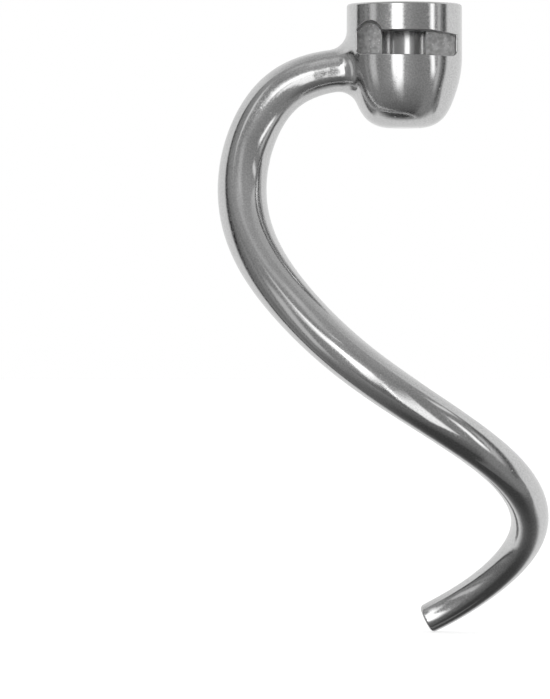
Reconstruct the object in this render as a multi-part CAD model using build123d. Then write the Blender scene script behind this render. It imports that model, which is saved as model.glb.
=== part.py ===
from build123d import *
import os
from math import cos, hypot, radians, sin

# Spiral dough hook of a stand mixer, cast in one piece and polished all over.
# Millimetres. The origin is on the shaft axis at the hub's rim, and +Z runs up the shaft.
# The arm leaves the hub along -X, winds past the front of the axis, on the -Y side, and ends behind it.

# Hub
HUB_DIAMETER = 32.6
HUB_HEIGHT = 35.0
HUB_STRAIGHT = 4.0  # from the rim down to the start of the drawn-in side
HUB_FOOT_DIAMETER = 8.0  # of the flat bottom
# The drawn-in side on its way down to the bottom: in from the hub's outside, above the bottom
HUB_SIDE = ((0.0, 24.0), (0.1, 17.4), (2.4, 8.0), (5.8, 2.3))
RIM_ROUNDING = 0.8

# Socket for the mixer's shaft
SHAFT_DIAMETER = 12.7
SHAFT_CLEARANCE = 0.4  # radial
SOCKET_BOTTOM_WALL = 3.5  # left under the blind end
SOCKET_LEAD_IN = 0.4

# Bayonet pocket for the pin that crosses the shaft
PIN_DIAMETER = 4.8
PIN_CLEARANCE = 0.2  # each side of the pin
PIN_REACH = 12.6  # from the axis to the pin's end
PIN_END_CLEARANCE = 0.4
POCKET_ROOF_DEPTH = 7.9  # below the rim
POCKET_FLOOR_DEPTH = 15.0
POCKET_ROOF_FALL = 1.0  # the roof is this much lower at its far right end
POCKET_FLOOR_RISE = 0.5  # the floor is this much higher at its left end
POCKET_RIGHT_SETBACK = 2.0  # from the hub's outside to the pocket's right end
POCKET_CORNER_RADIUS = 1.4
POCKET_EDGE_ROUNDING = 0.35
SEAT_RADIUS = 3.4  # of the round seat at the pocket's left end, where the pin drops back
SEAT_SETBACK = 3.0  # from the hub's outside to the seat's left side
SEAT_DEPTH = 8.6  # its centre, below the rim

# Arm: a round bar that swells at its first bend and tapers to the tip
ARM_ROOT_FILLET = 5.5
ARM_TIP_ROUNDING = 1.4
# Its diameter, at shares of its length from the hub
ARM_DIAMETERS = (
    (0.0, 12.6),
    (0.1, 12.9),
    (0.22, 13.8),
    (0.38, 13.1),
    (0.54, 12.0),
    (0.66, 11.3),
    (0.76, 10.9),
    (0.85, 9.7),
    (0.93, 8.8),
    (1.0, 8.5),
)

# The middle of the bar from the hub to the top of the spiral: out along -X, to the front, below the rim
SHOULDER_POINTS = (
    (8.0, 0.0, 19.5),
    (24.0, 0.0, 19.6),
    (34.0, -0.3, 24.2),
    (43.3, 1.5, 38.1),
)

# The middle of the bar round the spiral
SPIRAL_START_TURN = 12.0  # degrees from -X, towards the front
SPIRAL_END_TURN = 257.0
SPIRAL_START_RADIUS = 46.6
SPIRAL_END_RADIUS = 29.8
SPIRAL_DEPTHS = (56.9, 83.5, 102.9, 117.8, 130.6, 143.0, 154.7, 166.0, 175.3)  # at even steps of turn

TOUCH = 0.01  # what counts as lying on a surface

hub_radius = HUB_DIAMETER / 2
socket_radius = SHAFT_DIAMETER / 2 + SHAFT_CLEARANCE
socket_depth = HUB_HEIGHT - SOCKET_BOTTOM_WALL
pin_way_half = PIN_DIAMETER / 2 + PIN_CLEARANCE
pin_way_reach = PIN_REACH + PIN_END_CLEARANCE
pocket_right = hub_radius - POCKET_RIGHT_SETBACK
pocket_left = hub_radius - SEAT_SETBACK
seat_offset = pocket_left - SEAT_RADIUS


def hub_body():
    """The cup outside: a short cylinder that tapers into a rounded foot with a flat bottom."""
    rim = (hub_radius, 0)
    side_top = (hub_radius, -HUB_STRAIGHT)
    side_points = [(hub_radius - inset, rise - HUB_HEIGHT) for inset, rise in HUB_SIDE]
    foot = (HUB_FOOT_DIAMETER / 2, -HUB_HEIGHT)
    outline = make_face(
        [
            Polyline(foot, (0, -HUB_HEIGHT), (0, 0), rim, side_top),
            Spline([side_top, *side_points, foot], tangents=[(0, -1), (-1, 0)]),
        ]
    )
    outline = fillet(outline.vertices().sort_by_distance(rim)[0], RIM_ROUNDING)
    return revolve(Plane.XZ * outline, Axis.Z)


def arm_path():
    """The middle of the bar, one smooth curve from inside the hub to the tip."""
    points = [(-out, -front, -depth) for out, front, depth in SHOULDER_POINTS]
    steps = len(SPIRAL_DEPTHS) - 1
    for i, depth in enumerate(SPIRAL_DEPTHS):
        share = i / steps
        turn = radians(SPIRAL_START_TURN + share * (SPIRAL_END_TURN - SPIRAL_START_TURN))
        radius = SPIRAL_START_RADIUS + share * (SPIRAL_END_RADIUS - SPIRAL_START_RADIUS)
        points.append((-radius * cos(turn), -radius * sin(turn), -depth))
    return Spline(points)


def arm_bar():
    """The round bar, swept through its diameters without twist, with its tip rounded over."""
    path = arm_path()
    sections = []
    for share, diameter in ARM_DIAMETERS:
        square = Plane(path.location_at(share, frame_method=FrameMethod.CORRECTED))
        sections.append(square * Circle(diameter / 2))
    bar = sweep(sections, path=path, multisection=True)
    tip = bar.faces().sort_by_distance(path @ 1)[0]
    return fillet(tip.edges(), ARM_TIP_ROUNDING)


def pocket_cutter():
    """The pin's way round the front of the hub, with its round seat, cut back to a flat rear wall."""
    left_floor = (-pocket_left, -POCKET_FLOOR_DEPTH + POCKET_FLOOR_RISE)
    right_floor = (pocket_right, -POCKET_FLOOR_DEPTH)
    right_roof = (pocket_right, -POCKET_ROOF_DEPTH - POCKET_ROOF_FALL)
    left_roof = (-pocket_left, -SEAT_DEPTH)
    roof_left = (-seat_offset, -POCKET_ROOF_DEPTH)
    roof_right = (socket_radius, -POCKET_ROOF_DEPTH)
    roof = [right_roof, roof_right, roof_left]
    way = make_face(Polyline(left_roof, left_floor, right_floor, *roof, close=True))
    floor_corners = way.vertices().sort_by(Axis.Y)[:2]
    way = fillet(floor_corners, POCKET_CORNER_RADIUS)
    way += Pos(-seat_offset, -SEAT_DEPTH) * Circle(SEAT_RADIUS)
    return extrude(Plane.XZ.offset(-pin_way_half) * way, HUB_DIAMETER)


def socket_cutter():
    """The blind bore for the shaft, its lead-in, and the keyway that lets the pin down to the pocket."""
    bore = Cylinder(socket_radius, socket_depth, align=(Align.CENTER, Align.CENTER, Align.MAX))
    mouth = Pos(0, 0, -SOCKET_LEAD_IN) * Cone(
        socket_radius,
        socket_radius + SOCKET_LEAD_IN,
        SOCKET_LEAD_IN,
        align=(Align.CENTER, Align.CENTER, Align.MIN),
    )
    keyway = Box(
        pin_way_reach,
        2 * pin_way_half,
        POCKET_FLOOR_DEPTH,
        align=(Align.MIN, Align.CENTER, Align.MAX),
    )
    return bore + mouth + keyway


def off_rear_wall(edge):
    """True where neither end of an edge is on the pocket's rear wall."""
    return all(end.Y < pin_way_half - TOUCH for end in edge.vertices())


def at_root(edge):
    """True for a free-form edge that stays at the hub, where the bar runs into it."""
    near = all(hypot(end.X, end.Y) < hub_radius + TOUCH for end in edge.vertices())
    return near and edge.geom_type == GeomType.BSPLINE


def dough_hook():
    """The whole casting: hub and arm blended at the root, then the pocket and socket."""
    hub = hub_body()
    bar = arm_bar()
    body = hub + bar
    root_edges = [edge for edge in body.edges() - hub.edges() - bar.edges() if at_root(edge)]
    blended = fillet(root_edges, ARM_ROOT_FILLET)
    pocketed = blended - pocket_cutter()
    mouth_edges = [edge for edge in pocketed.edges() - blended.edges() if off_rear_wall(edge)]
    softened = fillet(mouth_edges, POCKET_EDGE_ROUNDING)
    return softened - socket_cutter()


os.makedirs("parts", exist_ok=True)
export_step(dough_hook(), "parts/dough_hook.step")
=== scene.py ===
"""Looks of a stand mixer's spiral dough hook: the polished casting, its finishes and a plain studio."""

import logging
import math
from dataclasses import dataclass
from enum import Enum

import bpy
import numpy as np
from mathutils.kdtree import KDTree
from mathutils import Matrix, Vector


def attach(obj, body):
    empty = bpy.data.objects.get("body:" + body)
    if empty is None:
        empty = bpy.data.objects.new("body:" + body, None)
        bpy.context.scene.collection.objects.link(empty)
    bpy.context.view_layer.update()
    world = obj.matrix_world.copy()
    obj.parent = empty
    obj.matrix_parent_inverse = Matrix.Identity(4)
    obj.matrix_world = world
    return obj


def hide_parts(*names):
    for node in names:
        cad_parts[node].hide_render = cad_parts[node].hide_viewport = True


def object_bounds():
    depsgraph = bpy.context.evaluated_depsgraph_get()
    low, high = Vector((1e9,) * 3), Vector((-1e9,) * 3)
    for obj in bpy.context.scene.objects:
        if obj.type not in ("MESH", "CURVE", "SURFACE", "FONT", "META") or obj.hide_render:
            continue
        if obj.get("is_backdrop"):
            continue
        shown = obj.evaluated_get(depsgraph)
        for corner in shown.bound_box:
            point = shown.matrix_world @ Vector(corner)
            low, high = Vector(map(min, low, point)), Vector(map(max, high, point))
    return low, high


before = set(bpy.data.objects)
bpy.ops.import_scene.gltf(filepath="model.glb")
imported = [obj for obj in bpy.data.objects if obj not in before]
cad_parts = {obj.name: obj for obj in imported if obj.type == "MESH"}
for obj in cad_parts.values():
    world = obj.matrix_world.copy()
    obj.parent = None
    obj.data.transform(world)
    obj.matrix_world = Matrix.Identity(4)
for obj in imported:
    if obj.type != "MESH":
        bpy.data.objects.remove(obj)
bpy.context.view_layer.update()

MM = 0.001
DEGREES = 180 / math.pi  # in one radian
TINY = 1e-6  # keeps a division from a length of zero
MIDDLE = 0.5  # of what a noise gives, and of a card's UV
NOISE_CORE = (0.3, 0.7)  # holds most of what a noise gives
WHITE = (1.0, 1.0, 1.0, 1.0)

# Sockets of a Mix node for colours
MIX_SHARE, MIX_LOW, MIX_HIGH, MIX_COLOUR = 0, 6, 7, 2

Colour = tuple[float, float, float, float]

log = logging.getLogger("dough_hook")


class Detail(Enum):
    """How much finer noise lies over the main patches of a noise."""

    SMOOTH = 1.0
    PLAIN = 2.0
    FINE = 3.0
    FINEST = 4.0


class Value:
    """A shader socket that Python's arithmetic works on, one Math node for each operation."""

    def __init__(self, shader: "Shader", socket: bpy.types.NodeSocket) -> None:
        """Wraps an output socket of a shader's tree."""
        self.shader = shader
        self.socket = socket

    def call(self, operation: str, *others: "Value | float") -> "Value":
        """Adds a Math node with this value as its first operand."""
        return self.shader.math(operation, self, *others)

    def __add__(self, other: "Value | float") -> "Value":
        """This plus other."""
        return self.call("ADD", other)

    __radd__ = __add__

    def __sub__(self, other: "Value | float") -> "Value":
        """This minus other."""
        return self.call("SUBTRACT", other)

    def __rsub__(self, other: "Value | float") -> "Value":
        """Other minus this."""
        return self.shader.math("SUBTRACT", other, self)

    def __mul__(self, other: "Value | float") -> "Value":
        """This times other."""
        return self.call("MULTIPLY", other)

    __rmul__ = __mul__

    def __truediv__(self, other: "Value | float") -> "Value":
        """This over other."""
        return self.call("DIVIDE", other)

    def __neg__(self) -> "Value":
        """This with its sign turned."""
        return self * -1.0

    def __abs__(self) -> "Value":
        """This without its sign."""
        return self.call("ABSOLUTE")

    def step(self, low: float, high: float) -> "Value":
        """A smooth step from 0 to 1.

        Args:
            low: Where it is 0.
            high: Where it is 1. This may be the smaller of the two.

        Returns:
            The step.
        """
        if low > high:
            return 1 - self.step(high, low)
        limits = {"Value": self, "From Min": low, "From Max": high}
        return self.shader.node("ShaderNodeMapRange", {"interpolation_type": "SMOOTHSTEP"}, limits)

    def band(self, ends: tuple[float, float], fades: tuple[float, float]) -> "Value":
        """A mask that is 1 between two ends.

        Args:
            ends: The low end and the high end, where it is at one half.
            fades: Over how much it fades at each of them.

        Returns:
            The mask.
        """
        low, high = ends
        low_half, high_half = fades[0] / 2, fades[1] / 2
        rising = self.step(low - low_half, low + low_half)
        return rising * self.step(high + high_half, high - high_half)


class Shader:
    """One node tree under construction."""

    def __init__(self, tree: bpy.types.NodeTree) -> None:
        """Starts from an empty tree."""
        self.tree = tree
        tree.nodes.clear()

    def node(
        self,
        kind: str,
        settings: dict[str, object] | None = None,
        inputs: dict[int | str, object] | None = None,
        output: int | str = 0,
    ) -> Value:
        """Adds a node.

        Args:
            kind: The node's type.
            settings: Its properties, which are set before its sockets.
            inputs: Values or links for its sockets, by index or name.
            output: The socket to return.

        Returns:
            The chosen output, or an empty value for a node that has none.
        """
        made = self.tree.nodes.new(kind)
        for name, setting in (settings or {}).items():
            setattr(made, name, setting)
        for key, given in (inputs or {}).items():
            if isinstance(given, Value):
                self.tree.links.new(given.socket, made.inputs[key])
            else:
                made.inputs[key].default_value = given
        return Value(self, made.outputs[output] if made.outputs else None)

    def math(self, operation: str, *operands: Value | float) -> Value:
        """Adds a Math node with these operands in order."""
        return self.node("ShaderNodeMath", {"operation": operation}, dict(enumerate(operands)))

    def split(self, vector: Value) -> list[Value]:
        """The three parts of a vector."""
        first = self.node("ShaderNodeSeparateXYZ", {}, {0: vector})
        return [Value(self, socket) for socket in first.socket.node.outputs]

    def place(self) -> Value:
        """The point's place in the piece's own frame."""
        return self.node("ShaderNodeTexCoord", output="Object")

    def stretch(self, place: Value, scale: tuple[float, float, float]) -> Value:
        """The place with each of its parts scaled."""
        return self.node("ShaderNodeMapping", {}, {"Vector": place, "Scale": scale})

    def noise(self, place: Value, size: float, detail: Detail = Detail.PLAIN) -> Value:
        """Noise from 0 to 1 whose patches are about size metres across."""
        given = {"Vector": place, "Scale": 1 / size, "Detail": detail.value}
        return self.node("ShaderNodeTexNoise", {}, given)

    def specks(self, place: Value, spacing: float, share: float) -> Value:
        """Scattered dots that fill a share of their spacing in metres, and are 1 over their inner third."""
        cells = {"Vector": place, "Scale": 1 / spacing, "Randomness": 1.0}
        return self.node("ShaderNodeTexVoronoi", {"feature": "F1"}, cells).step(share, share / 3)

    def mix(self, share: Value, low: Value | Colour, high: Value | Colour) -> Value:
        """The colour that goes from low to high as share goes from 0 to 1."""
        ends = {MIX_SHARE: share, MIX_LOW: low, MIX_HIGH: high}
        return self.node("ShaderNodeMix", {"data_type": "RGBA"}, ends, output=MIX_COLOUR)

    def bump(self, height: Value, depth: float, under: Value | None = None) -> Value:
        """The directions of an uneven surface.

        Args:
            height: From 0 to 1.
            depth: How many metres that is.
            under: The directions of the surface it lies on, if that is uneven too.

        Returns:
            The new directions.
        """
        inputs: dict[int | str, object] = {"Height": height, "Distance": depth}
        if under is not None:
            inputs["Normal"] = under
        return self.node("ShaderNodeBump", {}, inputs)

    def metal(self, colour: Value, roughness: Value, normal: Value) -> None:
        """Ends a material's tree with a bare metal."""
        parts = {"Base Color": colour, "Metallic": 1.0, "Roughness": roughness, "Normal": normal}
        self.end("ShaderNodeOutputMaterial", self.node("ShaderNodeBsdfPrincipled", {}, parts))

    def end(self, kind: str, surface: Value) -> None:
        """Adds the tree's output node."""
        self.node(kind, {}, {"Surface": surface})


def new_shader(name: str) -> tuple[bpy.types.Material, Shader]:
    """Makes a material.

    Args:
        name: What to call it.

    Returns:
        The material and its empty tree.
    """
    material = bpy.data.materials.new(name)
    material.use_nodes = True
    return material, Shader(material.node_tree)


def grey(level: float) -> Colour:
    """A grey of this level."""
    return level, level, level, 1.0


@dataclass(frozen=True)
class MirrorPolish:
    """Stainless steel polished by hand: a mirror with some haze, a faint waviness, fine marks and pits."""

    dark: float = 0.50
    pale: float = 0.70
    gloss: float = 0.09
    haze: float = 0.08
    haze_size: float = 8 * MM
    grain: float = 0.12
    grain_size: float = 0.4 * MM
    grain_shade: float = 0.6
    wave_size: float = 6 * MM
    wave_depth: float = 0.010 * MM
    mark_size: float = 0.35 * MM
    mark_depth: float = 0.0008 * MM
    mark_stretch: tuple[float, float, float] = (1.0, 1.0, 0.1)
    pit_spacing: float = 4.5 * MM
    pit_share: float = 0.06
    pit_depth: float = 0.04 * MM

    def make(self) -> bpy.types.Material:
        """Makes the material.

        Returns:
            The material.
        """
        material, shader = new_shader("mirror_polished_steel")
        place = shader.place()
        haze = shader.noise(place, self.haze_size, Detail.FINE)
        grain = shader.noise(place, self.grain_size).step(*NOISE_CORE)
        waves = shader.noise(place, self.wave_size, Detail.SMOOTH)
        marks = shader.noise(shader.stretch(place, self.mark_stretch), self.mark_size, Detail.SMOOTH)
        pits = shader.specks(place, self.pit_spacing, self.pit_share)
        normal = shader.bump(waves, self.wave_depth)
        normal = shader.bump(marks, self.mark_depth, normal)
        normal = shader.bump(1 - pits, self.pit_depth, normal)
        roughness = self.gloss + haze * self.haze + (grain - MIDDLE) * self.grain
        shade = haze * (1 - self.grain_shade) + grain * self.grain_shade
        shader.metal(shader.mix(shade, grey(self.dark), grey(self.pale)), roughness, normal)
        return material


@dataclass(frozen=True)
class AsCast:
    """Steel left as it came from the mould: dull, grainy and mottled, with bright specks."""

    dark: float = 0.48
    pale: float = 0.80
    dull: float = 0.54
    patch: float = 0.2
    patch_size: float = 1.4 * MM
    grain_size: float = 0.35 * MM
    grain_depth: float = 0.05 * MM
    speck: float = 0.95
    speck_gloss: float = 0.2
    speck_spacing: float = 1.0 * MM
    speck_share: float = 0.26

    def make(self) -> bpy.types.Material:
        """Makes the material.

        Returns:
            The material.
        """
        material, shader = new_shader("as_cast_steel")
        place = shader.place()
        patches = shader.noise(place, self.patch_size, Detail.FINEST)
        grain = shader.noise(place, self.grain_size, Detail.FINE)
        specks = shader.specks(place, self.speck_spacing, self.speck_share)
        mottled = shader.mix(patches.step(*NOISE_CORE), grey(self.dark), grey(self.pale))
        colour = shader.mix(specks, mottled, grey(self.speck))
        roughness = self.dull + (patches - MIDDLE) * self.patch - specks * self.speck_gloss
        shader.metal(colour, roughness, shader.bump(grain, self.grain_depth))
        return material


@dataclass(frozen=True)
class Bored:
    """A reamed bore: bright, with fine rings round its axis."""

    dark: float = 0.50
    pale: float = 0.60
    gloss: float = 0.12
    wear: float = 0.10
    wear_size: float = 3 * MM
    ring_size: float = 0.4 * MM
    ring_depth: float = 0.002 * MM
    ring_stretch: tuple[float, float, float] = (0.03, 0.03, 1.0)

    def make(self) -> bpy.types.Material:
        """Makes the material.

        Returns:
            The material.
        """
        material, shader = new_shader("reamed_steel")
        place = shader.place()
        wear = shader.noise(place, self.wear_size, Detail.FINE)
        rings = shader.noise(shader.stretch(place, self.ring_stretch), self.ring_size)
        colour = shader.mix(wear, grey(self.dark), grey(self.pale))
        shader.metal(colour, self.gloss + wear * self.wear, shader.bump(rings, self.ring_depth))
        return material


class Finish(Enum):
    """The casting's finishes, in the order of its material slots."""

    POLISHED = MirrorPolish()
    AS_CAST = AsCast()
    BORED = Bored()


class SmoothLine:
    """A curve through points, of cubic pieces that agree in slope and bend."""

    def __init__(
        self, points: list[tuple[float, ...]], ends: list[tuple[float, ...]] | None = None
    ) -> None:
        """Fits the curve.

        Args:
            points: What it passes through.
            ends: Its directions at both ends, or None to leave them free.
        """
        self.points = np.array(points, float)
        self.marks = running_length(self.points)
        self.slopes = self._fit(ends)

    def _fit(self, ends: list[tuple[float, ...]] | None) -> np.ndarray:
        """The slope at each point.

        Args:
            ends: Directions at both ends, or None.

        Returns:
            One slope per point.
        """
        gaps = np.diff(self.marks)
        rates = np.diff(self.points, axis=0) / gaps[:, None]
        count = len(self.points)
        rows = np.zeros((count, count))
        wanted = np.zeros_like(self.points)
        for i in range(1, count - 1):
            before, after = gaps[i - 1], gaps[i]
            rows[i, i - 1 : i + 2] = after, 2 * (before + after), before
            wanted[i] = 3 * (after * rates[i - 1] + before * rates[i])
        for end, near in ((0, 1), (-1, -2)):
            if ends is not None:
                rows[end, end] = 1.0
                wanted[end] = ends[end]
                continue
            first, second = gaps[end], gaps[near]
            both = first + second
            rows[end, end], rows[end, near] = second, both
            wanted[end] = ((first + 2 * both) * second * rates[end] + first**2 * rates[near]) / both
        return np.linalg.solve(rows, wanted)

    def sample(self, count: int) -> np.ndarray:
        """Points along the curve.

        Args:
            count: How many.

        Returns:
            The points in order, one per row.
        """
        at = np.linspace(0.0, self.marks[-1], count)
        i = np.clip(np.searchsorted(self.marks, at, side="right") - 1, 0, len(self.marks) - 2)
        gap = (self.marks[i + 1] - self.marks[i])[:, None]
        share = (at - self.marks[i])[:, None] / gap
        rest = 1 - share
        near = rest**2 * ((1 + 2 * share) * self.points[i] + share * gap * self.slopes[i])
        far = share**2 * ((1 + 2 * rest) * self.points[i + 1] - rest * gap * self.slopes[i + 1])
        return near + far


def running_length(points: np.ndarray) -> np.ndarray:
    """How far along a row of points each one is."""
    return np.r_[0.0, np.cumsum(np.linalg.norm(np.diff(points, axis=0), axis=1))]


def nearest(places: np.ndarray, points: np.ndarray) -> np.ndarray:
    """For each point, the number of the nearest place.

    Args:
        places: Where to look, with three columns.
        points: What to look from.

    Returns:
        One row number of places for each point.
    """
    tree = KDTree(len(places))
    for number, place in enumerate(places):
        tree.insert(place, number)
    tree.balance()
    return np.array([tree.find(point)[1] for point in points])


@dataclass(frozen=True)
class Hub:
    """The cup's outside: straight below its rim, then drawn in to a flat foot. Millimetres."""

    radius: float = 16.3
    height: float = 35.0
    straight: float = 4.0
    foot_radius: float = 4.0
    # The drawn-in side: in from the hub's outside, above the foot
    side: tuple[tuple[float, float], ...] = ((0.0, 24.0), (0.1, 17.4), (2.4, 8.0), (5.8, 2.3))
    socket_radius: float = 6.75
    socket_depth: float = 31.5
    pocket_floor: float = 15.0
    skin: float = 0.5
    rim_samples: int = 300
    side_samples: int = 3000

    def outline(self) -> tuple[np.ndarray, np.ndarray]:
        """The side from the rim to the foot.

        Returns:
            Points as radius, 0 and height, and the outward directions there.
        """
        top = (self.radius, -self.straight)
        foot = (self.foot_radius, -self.height)
        points = [top, *((self.radius - inset, rise - self.height) for inset, rise in self.side), foot]
        curve = SmoothLine(points, ends=[(0.0, -1.0), (-1.0, 0.0)]).sample(self.side_samples)
        rim = np.linspace((self.radius, 0.0), top, self.rim_samples, endpoint=False)
        line = np.vstack([rim, curve])
        run = np.gradient(line, axis=0)
        out = np.c_[-run[:, 1], run[:, 0]] / np.linalg.norm(run, axis=1)[:, None]
        return np.insert(line, 1, 0.0, axis=1), out

    def outward(self, points: np.ndarray) -> tuple[np.ndarray, np.ndarray]:
        """How points lie to the hub's outside.

        Args:
            points: Places in millimetres.

        Returns:
            The outward direction at each point, and how far outside it is.
        """
        line, out = self.outline()
        radius = np.hypot(points[:, 0], points[:, 1])
        flat = np.c_[radius, np.zeros(len(points)), points[:, 2]]
        near = nearest(line, flat)
        tilt = out[near]
        away = flat - line[near]
        proud = away[:, 0] * tilt[:, 0] + away[:, 2] * tilt[:, 1]
        spoke = points[:, :2] / np.maximum(radius, self.skin)[:, None]
        return np.c_[spoke * tilt[:, :1], tilt[:, 1]], proud


@dataclass(frozen=True)
class Arm:
    """The round bar: a shoulder out of the hub, then a spiral round the shaft axis. Millimetres."""

    # The diameter, at shares of the bar's length from the hub
    diameters: tuple[tuple[float, float], ...] = (
        (0.0, 12.6),
        (0.1, 12.9),
        (0.22, 13.8),
        (0.38, 13.1),
        (0.54, 12.0),
        (0.66, 11.3),
        (0.76, 10.9),
        (0.85, 9.7),
        (0.93, 8.8),
        (1.0, 8.5),
    )
    # The middle from the hub to the top of the spiral: out along -X, to the front, below the rim
    shoulder: tuple[tuple[float, float, float], ...] = (
        (8.0, 0.0, 19.5),
        (24.0, 0.0, 19.6),
        (34.0, -0.3, 24.2),
        (43.3, 1.5, 38.1),
    )
    # The spiral: degrees from -X towards the front, distances from the axis, and depths at even steps
    turns: tuple[float, float] = (12.0, 257.0)
    radii: tuple[float, float] = (46.6, 29.8)
    depths: tuple[float, ...] = (56.9, 83.5, 102.9, 117.8, 130.6, 143.0, 154.7, 166.0, 175.3)
    samples: int = 6000

    def middle(self) -> tuple[np.ndarray, np.ndarray]:
        """The bar's middle from the hub to the tip.

        Returns:
            Points along it, and the bar's radius at each.
        """
        points = [(-out, -front, -depth) for out, front, depth in self.shoulder]
        count = len(self.depths)
        turns = np.radians(np.linspace(*self.turns, count))
        radii = np.linspace(*self.radii, count)
        for turn, radius, depth in zip(turns, radii, self.depths):
            points.append((-radius * math.cos(turn), -radius * math.sin(turn), -depth))
        line = SmoothLine(points).sample(self.samples)
        length = running_length(line)
        shares, diameters = np.array(self.diameters).T
        return line, np.interp(length / length[-1], shares, diameters) / 2

    def outward(self, points: np.ndarray) -> tuple[np.ndarray, np.ndarray]:
        """How points lie to the bar's outside.

        Args:
            points: Places in millimetres.

        Returns:
            The outward direction at each point, and how far outside it is.
        """
        line, radius = self.middle()
        near = nearest(line, points)
        away = points - line[near]
        reach = np.linalg.norm(away, axis=1)
        return away / np.maximum(reach, TINY)[:, None], reach - radius[near]


@dataclass(frozen=True)
class Casting:
    """The whole hook, one piece of steel. The fillet and the touches are in millimetres."""

    node: str = "dough_hook"
    slot: str = "steel"
    hub: Hub = Hub()
    arm: Arm = Arm()
    root_fillet: float = 5.5
    hub_touch: float = 0.05
    arm_touch: float = 0.25
    merge: float = 0.001 * MM
    edge_angle: float = math.radians(30)
    skin_angle: float = math.radians(40)

    def build(self) -> bpy.types.Object:
        """Makes the casting's skin from the solid, dresses it and sets it on the frame.

        Returns:
            The finished piece.
        """
        piece = self._skin()
        self._true_normals(piece.data)
        self._dress(piece.data)
        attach(piece, "root")
        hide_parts(self.node)
        return piece

    def _skin(self) -> bpy.types.Object:
        """A copy of the solid's mesh, joined into one closed skin.

        Returns:
            The new piece.
        """
        bpy.ops.object.select_all(action="DESELECT")
        piece = bpy.data.objects.new("hook_casting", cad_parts[self.node].data.copy())
        bpy.context.scene.collection.objects.link(piece)
        piece.select_set(True)
        bpy.context.view_layer.objects.active = piece
        bpy.ops.object.mode_set(mode="EDIT")
        bpy.ops.mesh.select_all(action="SELECT")
        bpy.ops.mesh.customdata_custom_splitnormals_clear()
        bpy.ops.mesh.remove_doubles(threshold=self.merge)
        bpy.ops.object.mode_set(mode="OBJECT")
        bpy.ops.object.shade_smooth_by_angle(angle=self.edge_angle)
        return piece

    def _true_normals(self, mesh: bpy.types.Mesh) -> None:
        """Gives the polished outside the exact directions of the bar, the hub and the fillet between them.

        Args:
            mesh: The skin.
        """
        points = read(mesh.vertices, "co", 3) / MM
        hub_out, hub_gap = self.hub.outward(points)
        arm_out, arm_gap = self.arm.outward(points)
        hub_share = 1 - np.clip(hub_gap / self.root_fillet, 0.0, 1.0)
        arm_share = 1 - np.clip(arm_gap / self.root_fillet, 0.0, 1.0)
        blend = (hub_share > 0.0) & (arm_share > 0.0)
        lean = np.where(blend, (hub_out * arm_out).sum(axis=1), 0.0)
        hub_part = np.clip(hub_share - lean * arm_share, 0.0, None)
        arm_part = np.clip(arm_share - lean * hub_share, 0.0, None)
        out = hub_part[:, None] * hub_out + arm_part[:, None] * arm_out
        length = np.linalg.norm(out, axis=1)
        out /= np.maximum(length, TINY)[:, None]
        outside = (hub_gap > -self.hub_touch) & (arm_gap > -self.arm_touch) & (length > 0.0)

        corners = read(mesh.loops, "vertex_index", 1, np.int32)
        sides = read(mesh.polygons, "loop_total", 1, np.int32)
        facing = np.repeat(read(mesh.polygons, "normal", 3), sides, axis=0)
        wanted = out[corners]
        agrees = (wanted * facing).sum(axis=1) > math.cos(self.skin_angle)
        keep = agrees & outside[corners]
        mesh.normals_split_custom_set(np.where(keep[:, None], wanted, 0.0))

    def _dress(self, mesh: bpy.types.Mesh) -> None:
        """Gives each face the finish of its place.

        Args:
            mesh: The skin.
        """
        mesh.materials.clear()
        for finish in Finish:
            mesh.materials.append(finish.value.make())
        middles = read(mesh.polygons, "center", 3) / MM
        radius = np.hypot(middles[:, 0], middles[:, 1])
        depth = -middles[:, 2]
        hub = self.hub
        sunk = depth > hub.skin
        bored = sunk & (radius < hub.socket_radius + hub.skin) & (depth < hub.socket_depth + hub.skin)
        cut = sunk & (radius < hub.radius - hub.skin) & (depth < hub.pocket_floor + hub.skin)
        order = list(Finish)
        number = np.where(cut, order.index(Finish.AS_CAST), order.index(Finish.POLISHED))
        number = np.where(bored, order.index(Finish.BORED), number)
        mesh.polygons.foreach_set("material_index", number.astype(np.int32))


def read(
    items: bpy.types.bpy_prop_collection, name: str, width: int, kind: type = np.float32
) -> np.ndarray:
    """One property of every item of a mesh.

    Args:
        items: The mesh's vertices, loops or polygons.
        name: The property.
        width: How many numbers it has.
        kind: The numbers' type.

    Returns:
        An array with a row for each item, or a plain row of numbers where the width is 1.
    """
    numbers = np.empty(len(items) * width, kind)
    items.foreach_get(name, numbers)
    return numbers.reshape(-1, width) if width > 1 else numbers


@dataclass(frozen=True)
class Patch:
    """A soft patch of light or shade on the walls of the room. Degrees: turn to the right, and rise."""

    turns: tuple[float, float]
    rises: tuple[float, float]
    light: float
    turn_fades: tuple[float, float] = (6.0, 6.0)
    rise_fades: tuple[float, float] = (12.0, 12.0)
    lean: float = 0.0  # how its upright sides lean
    slant: float = 0.0  # how its level sides slant

    def shine(self, turn: Value, rise: Value) -> Value:
        """The patch's light by direction.

        Args:
            turn: Degrees to the right of the camera.
            rise: Degrees above the horizon.

        Returns:
            What it adds to the wall's own light.
        """
        across = (turn + self.lean * rise).band(self.turns, self.turn_fades)
        upward = (rise + self.slant * turn).band(self.rises, self.rise_fades)
        return across * upward * self.light


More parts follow.
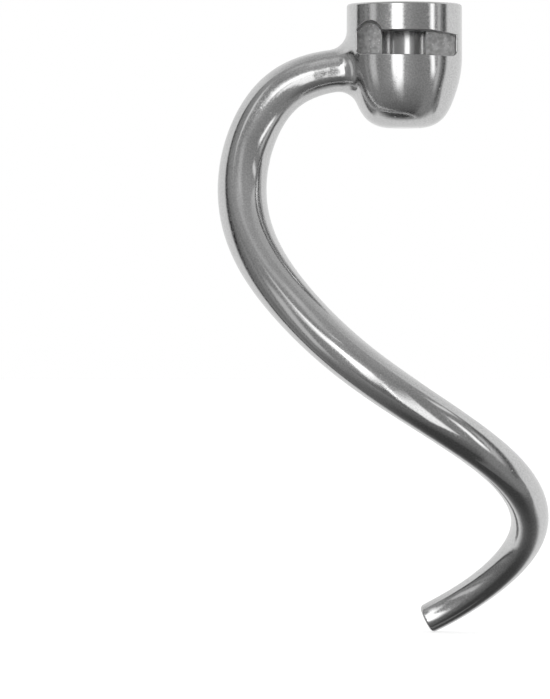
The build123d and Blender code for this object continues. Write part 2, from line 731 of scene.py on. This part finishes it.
class WallLight(Enum):
    """The lights, and the dark lines between them, that the metal mirrors."""

    STRIP = Patch((-25.5, -4.0), (-34.0, 14.4), 1.7, (8.0, 8.0), (34.0, 9.0), slant=0.42)
    STRIP_GLOW = Patch((-36.0, 12.0), (-34.0, 22.0), 0.16, (36.0, 36.0), (30.0, 30.0))
    STRIP_HALO = Patch((-20.0, 4.0), (16.0, 34.0), 0.1, (12.0, 12.0), slant=0.42)
    WINDOW = Patch((-45.0, -20.0), (-4.1, 12.9), 1.4, (30.0, 18.0), slant=0.42)
    WINDOW_EDGE = Patch((-58.0, -36.0), (-11.0, -3.0), 0.6, (8.0, 12.0), (6.0, 6.0), slant=0.85)
    HIGH_LINE = Patch((-58.0, -20.0), (54.0, 65.0), 0.18, (16.0, 16.0))
    HIGH_STRIP = Patch((-27.0, -5.0), (40.0, 66.0), 0.22, (16.0, 16.0))
    LEFT_STRIP = Patch((-74.0, -60.0), (-22.0, 22.0), 0.42, rise_fades=(16.0, 16.0))
    LEFT_LINE = Patch((-87.0, -81.0), (-30.0, 30.0), 0.14)
    LEFT_WALL = Patch((-104.0, -78.0), (-45.0, 40.0), -0.08, rise_fades=(20.0, 20.0))
    LEFT_GAP = Patch((-112.0, -104.0), (-45.0, 40.0), -0.22, rise_fades=(20.0, 20.0), lean=-0.38)
    RIGHT_STRIP = Patch((53.0, 62.0), (-17.0, 15.0), 1.5, lean=0.25)
    RIGHT_BEAM = Patch((58.0, 80.0), (32.0, 39.0), 0.75, rise_fades=(6.0, 6.0))
    RIGHT_SLAT = Patch((69.0, 76.0), (-26.0, 16.0), 0.4)
    RIGHT_GAP = Patch((82.0, 89.0), (-35.0, 30.0), -0.2)


@dataclass(frozen=True)
class Card:
    """A card near the hook, seen in the metal alone and from its front alone. Millimetres and degrees."""

    place: tuple[float, float, float]
    size: tuple[float, float]
    light: float
    tilt: float = 0.0  # about X, from lying face up
    roll: float = 0.0  # in its own plane, before the tilt
    taper: float = 0.0  # by what share of its width it narrows towards one end
    fade: tuple[float, float] = (0.5, 0.3)  # where it is clear and where whole, from its middle in UV

    def build(self, name: str) -> None:
        """Makes the card and its material.

        Args:
            name: What to call it.
        """
        bpy.ops.object.select_all(action="DESELECT")
        bpy.ops.mesh.primitive_plane_add(size=1.0, location=[part * MM for part in self.place])
        card = bpy.context.object
        card.name = name
        card.rotation_mode = "ZYX"
        card.rotation_euler = (math.radians(self.tilt), 0.0, math.radians(self.roll))
        card.scale = (self.size[0] * MM, self.size[1] * MM, 1.0)
        bpy.ops.object.transform_apply(location=True, rotation=True, scale=True)
        card.data.materials.append(self._paint(name))
        card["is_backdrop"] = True

    def _paint(self, name: str) -> bpy.types.Material:
        """Makes the material, which fades towards the card's edges.

        Args:
            name: What to call it.

        Returns:
            The material.
        """
        material, shader = new_shader(name)
        glossy = shader.node("ShaderNodeLightPath", output="Is Glossy Ray")
        behind = shader.node("ShaderNodeNewGeometry", output="Backfacing")
        across, along, _ = shader.split(shader.node("ShaderNodeTexCoord", output="UV"))
        width = 1 - self.taper * (1 - along)
        edge = (abs(across - MIDDLE) / width).call("MAXIMUM", abs(along - MIDDLE))
        shown = glossy * (1 - behind) * edge.step(*self.fade)
        light = shader.node("ShaderNodeEmission", {}, {"Color": WHITE, "Strength": self.light})
        clear = shader.node("ShaderNodeBsdfTransparent")
        surface = shader.node("ShaderNodeMixShader", {}, {0: shown, 1: clear, 2: light})
        shader.end("ShaderNodeOutputMaterial", surface)
        return material


class NearCard(Enum):
    """The cards near the hook. Those before the crossing of the arm have their backs to the hub."""

    HUB_CARD = Card((0.0, 58.0, -80.0), (150.0, 150.0), 0.85)
    SHOULDER_CARD = Card((-27.5, -103.7, -37.5), (10.0, 90.0), 1.7, tilt=-46.0, roll=-13.6)
    CROSSING_CARD = Card((15.0, -80.6, -136.8), (60.0, 90.0), 1.4, tilt=-130.0, roll=-24.6, taper=0.85)
    CROSSING_SHADE = Card((-12.5, -80.0, -136.0), (24.0, 92.0), 0.2, tilt=-130.0, roll=-9.0)


@dataclass(frozen=True)
class Floor:
    """A wide sheet of white paper that takes a soft shadow, and that the metal doesn't mirror."""

    size: float = 30.0  # metres
    paper: float = 0.8
    glow: float = 0.6

    def build(self, height: float) -> None:
        """Makes the sheet and its material.

        Args:
            height: Where it lies, in metres.
        """
        bpy.ops.object.select_all(action="DESELECT")
        bpy.ops.mesh.primitive_plane_add(size=self.size, location=(0.0, 0.0, height))
        floor = bpy.context.object
        floor.name = "floor"
        bpy.ops.object.transform_apply(location=True)
        floor.data.materials.append(self._paint())
        floor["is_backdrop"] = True

    def _paint(self) -> bpy.types.Material:
        """Makes the material.

        Returns:
            The material.
        """
        material, shader = new_shader("white_paper")
        camera = shader.node("ShaderNodeLightPath", output="Is Camera Ray")
        glossy = shader.node("ShaderNodeLightPath", output="Is Glossy Ray")
        paper = shader.node("ShaderNodeBsdfDiffuse", {}, {"Color": grey(self.paper)})
        glow = shader.node("ShaderNodeEmission", {}, {"Color": WHITE, "Strength": camera * self.glow})
        seen = shader.node("ShaderNodeAddShader", {}, {0: paper, 1: glow})
        clear = shader.node("ShaderNodeBsdfTransparent")
        surface = shader.node("ShaderNodeMixShader", {}, {0: glossy, 1: seen, 2: clear})
        shader.end("ShaderNodeOutputMaterial", surface)
        return material


@dataclass(frozen=True)
class Room:
    """The light by direction: a dim room in front of the object and a white sheet behind it.

    Turns to the right of the camera and rises above the horizon are in degrees. Unless a comment says
    otherwise, a pair of them runs from where something starts to where it is whole.
    """

    wall: float = 0.31
    ceiling: float = 0.13
    ceiling_rises: tuple[float, float] = (20.0, 70.0)
    floor: float = 0.17
    floor_rises: tuple[float, float] = (-22.0, -52.0)
    floor_shade: float = 0.1
    floor_shade_rises: tuple[float, float] = (-50.0, -70.0)
    floor_glow: float = 0.13
    floor_glow_turns: tuple[float, float] = (50.0, 104.0)  # its two ends
    floor_glow_fades: tuple[float, float] = (16.0, 16.0)  # over how much it fades there
    sheet: float = 0.9
    sheet_shade: float = 0.36
    sheet_shade_rises: tuple[float, float] = (35.0, 75.0)
    sheet_foot: tuple[float, float] = (-54.0, -36.0)
    sheet_left: tuple[float, float] = (-110.0, -115.0)
    sheet_left_lean: float = 0.38
    sheet_right: tuple[float, float] = (90.0, 96.0)
    sheet_right_upright: tuple[float, float] = (-20.0, 35.0)  # between these rises the right side is upright

    def build(self) -> None:
        """Makes the world, which the camera itself sees as plain white."""
        world = bpy.data.worlds.new("studio")
        bpy.context.scene.world = world
        world.use_nodes = True
        shader = Shader(world.node_tree)
        x, y, z = shader.split(shader.node("ShaderNodeTexCoord", output="Generated"))
        turn = x.call("ARCTAN2", -y) * DEGREES
        rise = z.call("ARCSINE") * DEGREES
        camera = shader.node("ShaderNodeLightPath", output="Is Camera Ray")
        sheet = self._sheet(turn, rise)
        behind = self.sheet - self.sheet_shade * rise.step(*self.sheet_shade_rises)
        light = self._front(turn, rise) * (1 - sheet) + behind * sheet
        shown = light * (1 - camera) + camera
        back = shader.node("ShaderNodeBackground", {}, {"Color": WHITE, "Strength": shown})
        shader.end("ShaderNodeOutputWorld", back)

    def _front(self, turn: Value, rise: Value) -> Value:
        """The light of the walls, with what is on them, and of the floor.

        Args:
            turn: Degrees to the right of the camera.
            rise: Degrees above the horizon.

        Returns:
            The light by direction.
        """
        wall = self.wall + self.ceiling * rise.step(*self.ceiling_rises)
        for light in WallLight:
            wall = wall + light.value.shine(turn, rise)
        glow = self.floor_glow * turn.band(self.floor_glow_turns, self.floor_glow_fades)
        deep = self.floor - self.floor_shade * rise.step(*self.floor_shade_rises) + glow
        share = rise.step(*self.floor_rises)
        return wall * (1 - share) + deep * share

    def _sheet(self, turn: Value, rise: Value) -> Value:
        """Where the white sheet is.

        Args:
            turn: Degrees to the right of the camera.
            rise: Degrees above the horizon.

        Returns:
            A mask by direction.
        """
        low, high = self.sheet_right_upright
        beyond = rise.call("MINIMUM", low) + rise.call("MAXIMUM", high) - (low + high)
        right = (turn + beyond).step(*self.sheet_right)
        left = (turn - self.sheet_left_lean * rise).step(*self.sheet_left)
        return (right + left) * rise.step(*self.sheet_foot)


@dataclass(frozen=True)
class Camera:
    """A level camera far in front, with the photograph's framing. Lens and sensor in millimetres."""

    place: tuple[float, float, float] = (-36.57 * MM, -1800 * MM, -97.62 * MM)
    lens: float = 327.8
    sensor: float = 36.0
    near: float = 0.1
    far: float = 100.0

    def build(self) -> None:
        """Makes the camera and looks through it."""
        data = bpy.data.cameras.new("camera")
        camera = bpy.data.objects.new("camera", data)
        bpy.context.scene.collection.objects.link(camera)
        camera.location = self.place
        camera.rotation_euler = (math.pi / 2, 0.0, 0.0)
        data.lens = self.lens
        data.sensor_width = self.sensor
        data.clip_start = self.near
        data.clip_end = self.far
        bpy.context.scene.camera = camera


@dataclass(frozen=True)
class Studio:
    """All that is round the object."""

    floor: Floor = Floor()
    room: Room = Room()
    camera: Camera = Camera()

    def build(self, floor_height: float) -> None:
        """Makes the floor, the cards, the world and the camera.

        Args:
            floor_height: Where the floor lies, in metres.
        """
        self.floor.build(floor_height)
        for card in NearCard:
            card.value.build(card.name.lower())
        self.room.build()
        self.camera.build()


def main() -> None:
    """Builds the object and its studio in order."""
    logging.basicConfig(level=logging.INFO)
    bpy.context.scene.view_settings.view_transform = "Standard"
    piece = Casting().build()
    log.info("%s: %d faces", piece.name, len(piece.data.polygons))
    low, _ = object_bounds()
    Studio().build(low.z)


if __name__ == "__main__":
    main()
